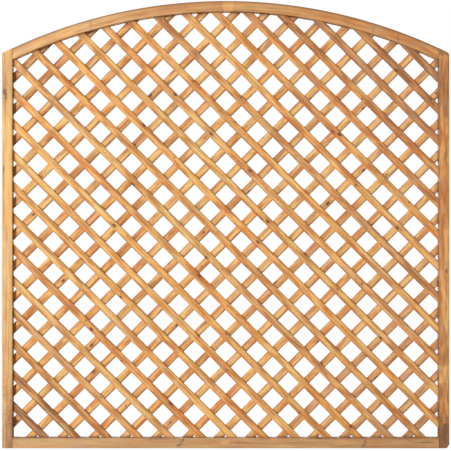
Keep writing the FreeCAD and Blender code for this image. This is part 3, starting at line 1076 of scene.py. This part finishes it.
class TRELLIS_OT_arched_rail(bpy.types.Operator):
    """Build the arched rail: its grooved section spun round the arch's centre, then sawn and tenoned"""

    bl_idname = "trellis.arched_rail"
    bl_label = "Arched rail"

    def execute(self, context):
        timber = context.scene.trellis_timber
        reach = math.asin(HALF_WIDTH / ARCH_RADIUS)
        rail = make_arch_section("arched_top_rail_timber", -reach)
        with editing(rail):
            bpy.ops.mesh.select_all(action="SELECT")
            bpy.ops.mesh.spin(
                steps=timber.arch_steps, angle=2 * reach, center=ARCH_CENTRE, axis=-BACKWARD, dupli=False
            )
            tidy_shell()
            choose(rail, "EDGE", is_arched_arris)
            round_over(timber.arris_radius, timber.rounding_steps)
            for side in (-1, 1):
                trim(ACROSS * side * SHOULDER, ACROSS * side)
            ease_shoulders(rail)
            pull_tenons(rail, ARCH_SLOPE)
            tidy_shell()
        places = arched_places(rail, ARCH_RADIUS - MEMBER_WIDTH / 2)
        # The sawn ends get painted shade, for the shaded joint at the stiles.
        finish_member(rail, "arched_top_rail", places, shade_shoulders(rail))
        return {"FINISHED"}


def make_slat_stock():
    """Make a length of planed slat with rounded edges, long enough for any slat."""
    timber = bpy.context.scene.trellis_timber
    half = Vector((PANEL_HIGH.z, SLAT_THICKNESS / 2, timber.slat_width / 2))
    stock = add_block("slat_stock", -half, half)

    def is_long(edge):
        return edge.calc_length() > 2 * timber.slat_width

    with editing(stock):
        choose(stock, "EDGE", is_long)
        round_over(timber.slat_edge_radius, timber.rounding_steps)
    return stock


def slat_nodes(layer):
    """Return the nodes of one layer's slats."""
    return sorted(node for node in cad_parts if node.startswith(f"{layer}_slat_"))


def half_and_number(node):
    """Return which half of its layer a slat is in and its number there, as its name says."""
    _, _, half, number = node.split("_")
    return half, int(number)


def slat_offset(node, side):
    """Return how far a slat lies from the lattice's middle."""
    timber = bpy.context.scene.trellis_timber
    half, number = half_and_number(node)
    steps = number - 0.5
    return side * (steps if half == "upper" else -steps) * (timber.slat_width + timber.slat_gap)


def trim_to_field(middle, along):
    """In edit mode, saw a slat to length in the frame's grooves and add loops where the painted shade at
    its ends stops.
    """
    timber = bpy.context.scene.trellis_timber
    reach = timber.groove_depth - timber.slat_end_clearance
    for side in (-1, 1):
        trim(ACROSS * side * (SHOULDER + reach), ACROSS * side)
    trim(UP * (MEMBER_WIDTH - reach), -UP)
    radius = ARCH_RADIUS - MEMBER_WIDTH + reach
    offset = middle - ARCH_CENTRE
    upward = along if along.z > 0 else -along
    nearest = offset.dot(upward)
    half_chord = math.sqrt(nearest ** 2 - offset.dot(offset) + radius ** 2)
    end = offset + upward * (half_chord - nearest)
    trim(ARCH_CENTRE + end, end)
    # The painted shade under the arch reaches this far; the loops mark where the painted shade at each
    # side stops.
    stain = end.normalized() * (reach + timber.arch_shade_reach)
    add_loop(-ACROSS * (SHOULDER - timber.left_shade_reach), ACROSS)
    add_loop(ACROSS * (SHOULDER - timber.lit_side_shade_reach), ACROSS)
    add_loop(UP * (MEMBER_WIDTH + timber.lit_side_shade_reach), UP)
    add_loop(ARCH_CENTRE + end - stain, end)


# How much painted shade darkens a layer's ends where the frame shades them: by the left stile, under the
# arch and at the two lit sides.
Soak = namedtuple("Soak", "left arch dry")


def shade_slat_ends(slat, soak):
    """Return how much painted shade each point of a slat gets: most at the frame, none further in."""
    timber = bpy.context.scene.trellis_timber
    shares = []
    for vertex in slat.data.vertices:
        radius = math.hypot(vertex.co.x, vertex.co.z - ARCH_CENTRE.z)
        lit_side_room = min(SHOULDER - vertex.co.x, vertex.co.z - MEMBER_WIDTH)
        rooms = (
            (SHOULDER + vertex.co.x, timber.left_shade_reach, soak.left),
            (ARCH_RADIUS - MEMBER_WIDTH - radius, timber.arch_shade_reach, soak.arch),
            (lit_side_room, timber.lit_side_shade_reach, soak.dry),
        )
        shares.append(max(0, *(share * (1 - room / reach) for room, reach, share in rooms)))
    return shares


# The outermost slats of each half of a layer come from darker boards: after which slat, and by how much.
Outer = namedtuple("Outer", "after rise")

# How much of that darkening shows as red and as grey too.
OUTER_RED = 0.7
OUTER_GREY = 0.3

# What sets a layer of slats apart: its look, its outermost slats, how much darker each slat is than the
# one below it, the painted shade at its ends and its finish.
Layer = namedtuple("Layer", "look outer fade soak finish")
SLAT_FINISH = Finish(
    mottling=1.0,
    blotchiness=0.9,
    knottiness=1,
    reddening=0.08,
    greying=0.05,
    far_rim=0.42,
    near_rim=0.28,
    rim_start=0.45,
)
FRONT_LAYER = Layer(
    look=Look(dark=0.2, red=-0.3, grey=0.1, spread=0.32),
    outer={"upper": Outer(after=7, rise=0.65), "lower": Outer(after=9, rise=0.75)},
    fade=0.0,
    soak=Soak(left=0.75, arch=0.70, dry=0.40),
    finish=SLAT_FINISH,
)
REAR_LAYER = Layer(
    look=Look(dark=-0.75, red=-0.4, grey=0.6, spread=0.15),
    outer={"upper": Outer(after=10, rise=0.80), "lower": Outer(after=7, rise=0.45)},
    fade=0.12,
    soak=Soak(left=1.0, arch=0.9, dry=1.2),
    finish=SLAT_FINISH._replace(
        blotchiness=1.2, reddening=0.03, greying=0.14, far_rim=0.58, near_rim=0.25, rim_start=0.33
    ),
)

# A few slats stand out from their layer.
ODD_SLATS = {
    "front_slat_upper_05": Look(dark=1.6, red=0.2, grey=0.7),
    "front_slat_lower_04": Look(dark=0.0, red=-0.7, grey=-0.2),
    "front_slat_lower_05": Look(dark=-0.2, red=-0.7, grey=0.2),
    "front_slat_lower_08": Look(dark=0.2, red=0.8, grey=0.3),
    "front_slat_lower_11": Look(dark=1.6, red=1.2, grey=0.6),
}


def slat_look(node, layer):
    """Return the look of one slat: its layer's, changed by its place in the layer, or one of its own."""
    half, number = half_and_number(node)
    outer = layer.outer[half]
    extra = outer.rise * max(0, number - outer.after)
    dark = layer.look.dark + layer.fade * (number if half == "upper" else -number) + extra
    red = layer.look.red + OUTER_RED * extra
    grey = layer.look.grey + OUTER_GREY * extra
    return ODD_SLATS.get(node, layer.look._replace(dark=dark, red=red, grey=grey))


def make_slats(name, side, layer):
    """Make one layer of slats; side is 1 for those that fall to the right, -1 for those that rise."""
    timber = bpy.context.scene.trellis_timber
    angle = timber.lattice_angle
    along = Vector((math.cos(angle), 0, -side * math.sin(angle)))
    across = Vector((math.sin(angle), 0, side * math.cos(angle)))
    through = BACKWARD * side * SLAT_THICKNESS / 2
    pine = make_pine(f"{name}_slat_pine", layer.finish)
    stock = make_slat_stock()
    for node in slat_nodes(name):
        slat = copy_of(stock, f"{node}_timber")
        middle = across * slat_offset(node, side) + UP * timber.lattice_centre - through
        slat.matrix_world = Matrix.Translation(middle) @ Matrix.Rotation(side * angle, 4, "Y")
        settle(slat)
        with editing(slat):
            trim_to_field(middle - BACKWARD * middle.y, along)
            tidy_shell()
        places = straight_places(slat, along, across, middle)
        look = slat_look(node, layer)
        # Painted shade at the slat's ends, where the frame shades them.
        shaded_ends = shade_slat_ends(slat, layer.soak)
        lay_grain(slat, node, places, timber.slat_width / 2, SLAT_THICKNESS / 2, look, shaded_ends)
        dress(slat, node, pine)
    discard(stock)


class TRELLIS_OT_front_slats(bpy.types.Operator):
    """Build the front layer of slats"""

    bl_idname = "trellis.front_slats"
    bl_label = "Front slats"

    def execute(self, context):
        make_slats("front", 1, FRONT_LAYER)
        return {"FINISHED"}


class TRELLIS_OT_rear_slats(bpy.types.Operator):
    """Build the rear layer of slats"""

    bl_idname = "trellis.rear_slats"
    bl_label = "Rear slats"

    def execute(self, context):
        make_slats("rear", -1, REAR_LAYER)
        return {"FINISHED"}


def staple_points():
    """Return the points behind every second crossing of the slats where a staple clears the frame."""
    timber = bpy.context.scene.trellis_timber
    sizes = bpy.context.scene.trellis_fasteners
    angle = timber.lattice_angle
    half_crown = sizes.staple_crown / 2
    half_wire = sizes.wire_width / 2
    widest = SHOULDER - half_crown - sizes.staple_margin
    lowest = MEMBER_WIDTH + half_wire + sizes.staple_margin
    highest = ARCH_RADIUS - MEMBER_WIDTH - sizes.staple_margin
    pitch = timber.slat_width + timber.slat_gap
    fronts = sorted(slat_offset(node, 1) for node in slat_nodes("front"))
    rears = sorted(slat_offset(node, -1) for node in slat_nodes("rear"))
    points = []
    for front in fronts:
        for rear in rears:
            if round((front + rear) / pitch) % 2:
                continue
            across = (front + rear) / (2 * math.sin(angle))
            up = timber.lattice_centre + (front - rear) / (2 * math.cos(angle))
            corner = math.hypot(abs(across) + half_crown, up + half_wire - ARCH_CENTRE.z)
            if abs(across) <= widest and up >= lowest and corner <= highest:
                points.append(Vector((across, SLAT_THICKNESS, up)))
    return points


class TRELLIS_OT_staples(bpy.types.Operator):
    """Build the wire staples that hold the two layers of slats together"""

    bl_idname = "trellis.staples"
    bl_label = "Staples"

    def execute(self, context):
        sizes = context.scene.trellis_fasteners
        half = Vector((sizes.staple_crown / 2, 0, sizes.wire_width / 2))
        staple = add_block("staple", -half, half + BACKWARD * sizes.wire_thickness)
        inside = half.x - sizes.wire_thickness

        def faces_forward(face):
            return face.normal.y < -NEARLY_ONE

        def is_leg(face):
            return faces_forward(face) and abs(face.calc_center_median().x) > inside

        def is_shoulder(edge):
            at_side = all(abs(vertex.co.x) > half.x - SAME_PLACE for vertex in edge.verts)
            return at_side and all(vertex.co.y > sizes.wire_thickness / 2 for vertex in edge.verts)

        with editing(staple):
            for side in (-inside, inside):
                choose(staple, "FACE", faces_forward)
                score(ACROSS * side, ACROSS)
            choose(staple, "FACE", is_leg)
            pull(-BACKWARD * sizes.staple_leg)
            choose(staple, "EDGE", is_shoulder)
            round_over(sizes.bend_radius, sizes.bend_steps)
            tidy_shell()
        copies = []
        for number, point in enumerate(staple_points(), start=1):
            copy = copy_of(staple, f"staple_{number:03d}")
            copy.location = point
            copies.append(copy)
        discard(staple)
        zinc = context.scene.trellis_colours.zinc
        wire = make_metal("galvanised_wire", zinc, tarnish=0.55, roughness=0.38)
        dress(join(copies, "staple_set"), "lattice_staples", wire)
        return {"FINISHED"}


class TRELLIS_OT_screws(bpy.types.Operator):
    """Build the countersunk screws at the frame's corners"""

    bl_idname = "trellis.screws"
    bl_label = "Screws"

    def execute(self, context):
        sizes = context.scene.trellis_fasteners
        head = sizes.head_diameter / 2
        shank = sizes.screw_diameter / 2
        lip = sizes.head_height / 12
        point = shank / 4
        rings = (
            (0, head - lip),
            (lip, head),
            (sizes.head_height, shank),
            (sizes.screw_length - 2 * shank, shank),
            (sizes.screw_length, point),
        )
        screw = turn_pin("screw", rings)
        arms = (sizes.recess_length / 2, sizes.recess_width / 2)
        for half_x, half_y in (arms, arms[::-1]):
            half = Vector((half_x, half_y, sizes.recess_depth))
            cut_with(screw, add_block("driver_recess", -half, half))
        copies = []
        for number, (place, direction) in enumerate(screw_places(), start=1):
            copy = copy_of(screw, f"screw_{number}")
            set_pin(copy, place, direction)
            copies.append(copy)
        discard(screw)
        plating = context.scene.trellis_colours.brass_zinc
        steel = make_metal("yellow_zinc", plating, tarnish=0.6, roughness=0.26)
        dress(join(copies, "screw_set"), "corner_screws", steel)
        return {"FINISHED"}


# The lamps: their places and sizes, and the settings that hold their powers.
Lamp = namedtuple("Lamp", "place size power")
LAMPS = {
    "key": Lamp((-7.7, -10.5, 4.2), 1.4, "key_power"),
    "fill": Lamp((0.8, -5.6, 1.4), 2.4, "fill_power"),
    "back": Lamp((0, 6.5, 1.6), 3.0, "back_power"),
}

# The camera's sensor in millimetres and the floor's side in metres.
SENSOR_WIDTH = 36
FLOOR_SIZE = 40


def add_lamp(name, place, target, size, power):
    """Add one large soft lamp that faces a target."""
    turn = (target - place).to_track_quat("-Z", "Y").to_euler()
    bpy.ops.object.light_add(type="AREA", location=place, rotation=turn)
    lamp = bpy.context.active_object
    lamp.name = name
    lamp.data.shape = "DISK"
    lamp.data.size = size
    lamp.data.energy = power


def seen_directly(tree):
    """Return a mask that is 1 for the camera's own rays and for those mirrored or let through."""
    rays = add_node(tree, "ShaderNodeLightPath").outputs
    mirrored = calculate(tree, "MAXIMUM", rays["Is Glossy Ray"], rays["Is Transmission Ray"])
    return calculate(tree, "MAXIMUM", rays["Is Camera Ray"], mirrored)


# The floor's paint, and its glow: a little above 1, so that it is as white as the background where no
# shadow falls.
FLOOR_COLOUR = (0.86, 0.86, 0.86)
FLOOR_ROUGHNESS = 0.9
FLOOR_GLOW = 1.08


def make_floor_paint(shadow):
    """Make the pale floor: white to the camera but for a soft shadow, plain paint for the light."""
    material, tree, shader = new_material("pale_floor")
    shader.inputs["Base Color"].default_value = opaque(FLOOR_COLOUR)
    shader.inputs["Roughness"].default_value = FLOOR_ROUGHNESS
    white = add_node(tree, "ShaderNodeEmission", {"Strength": FLOOR_GLOW}).outputs[0]
    share = calculate(tree, "MULTIPLY", seen_directly(tree), 1 - shadow)
    mixed = add_node(tree, "ShaderNodeMixShader", {0: share, 1: shader.outputs[0], 2: white}).outputs[0]
    tree.links.new(mixed, tree.nodes["Material Output"].inputs["Surface"])
    return material


def make_sky(level):
    """Light the scene evenly from all round, with a white background."""
    world = bpy.data.worlds.new("even_light")
    world.use_nodes = True
    tree = world.node_tree
    background = tree.nodes["Background"]
    background.inputs["Color"].default_value = (1, 1, 1, 1)
    strength = ramp(tree, seen_directly(tree), 0.0, 1.0, level, 1.0)
    tree.links.new(strength, background.inputs["Strength"])
    bpy.context.scene.world = world


class TRELLIS_OT_stage(bpy.types.Operator):
    """Build the floor, the lamps and the camera"""

    bl_idname = "trellis.stage"
    bl_label = "Stage"

    def execute(self, context):
        stage = context.scene.trellis_stage
        deselect_all()
        bpy.ops.mesh.primitive_plane_add(size=FLOOR_SIZE)
        floor = context.active_object
        floor.name = "floor"
        floor.data.materials.append(make_floor_paint(stage.floor_shadow))
        make_sky(stage.sky)
        target = Vector((0, 0, PANEL_HIGH.z / 2))
        for name, lamp in LAMPS.items():
            add_lamp(name, Vector(lamp.place), target, lamp.size, getattr(stage, lamp.power))
        place = (stage.camera_across, -HALF_DEPTH - stage.camera_distance, stage.camera_height)
        bpy.ops.object.camera_add(location=place, rotation=(math.pi / 2, 0, 0))
        camera = context.active_object
        camera.name = "camera"
        camera.data.sensor_width = SENSOR_WIDTH
        camera.data.lens = SENSOR_WIDTH * stage.camera_distance / stage.view_width
        camera.data.shift_x = (stage.view_across - stage.camera_across) / stage.view_width
        camera.data.shift_y = (stage.view_height - stage.camera_height) / stage.view_width
        context.scene.camera = camera
        context.scene.view_settings.view_transform = "Standard"
        return {"FINISHED"}


STEPS = (
    TRELLIS_OT_stiles,
    TRELLIS_OT_bottom_rail,
    TRELLIS_OT_arched_rail,
    TRELLIS_OT_front_slats,
    TRELLIS_OT_rear_slats,
    TRELLIS_OT_staples,
    TRELLIS_OT_screws,
    TRELLIS_OT_stage,
)
SETTINGS = {
    "trellis_timber": TrellisTimber,
    "trellis_fasteners": TrellisFasteners,
    "trellis_colours": TrellisColours,
    "trellis_stage": TrellisStage,
}


class TRELLIS_PT_panel(bpy.types.Panel):
    """List the steps and their settings in the sidebar"""

    bl_idname = "TRELLIS_PT_panel"
    bl_label = "Arched trellis fence"
    bl_space_type = "VIEW_3D"
    bl_region_type = "UI"
    bl_category = "Trellis"

    def draw(self, context):
        for step in STEPS:
            self.layout.operator(step.bl_idname)
        for name, group in SETTINGS.items():
            box = self.layout.box()
            for label in group.__annotations__:
                box.prop(getattr(context.scene, name), label)


CLASSES = (*SETTINGS.values(), *STEPS, TRELLIS_PT_panel)


def register():
    """Register the classes and hang the settings on the scene."""
    for item in CLASSES:
        bpy.utils.register_class(item)
    for name, group in SETTINGS.items():
        setattr(bpy.types.Scene, name, PointerProperty(type=group))


def unregister():
    """Take the settings and the classes away again."""
    for name in SETTINGS:
        delattr(bpy.types.Scene, name)
    for item in reversed(CLASSES):
        bpy.utils.unregister_class(item)


def main():
    """Build every piece and the stage."""
    register()
    for step in STEPS:
        family, name = step.bl_idname.split(".")
        getattr(getattr(bpy.ops, family), name)()


if __name__ == "__main__":
    main()
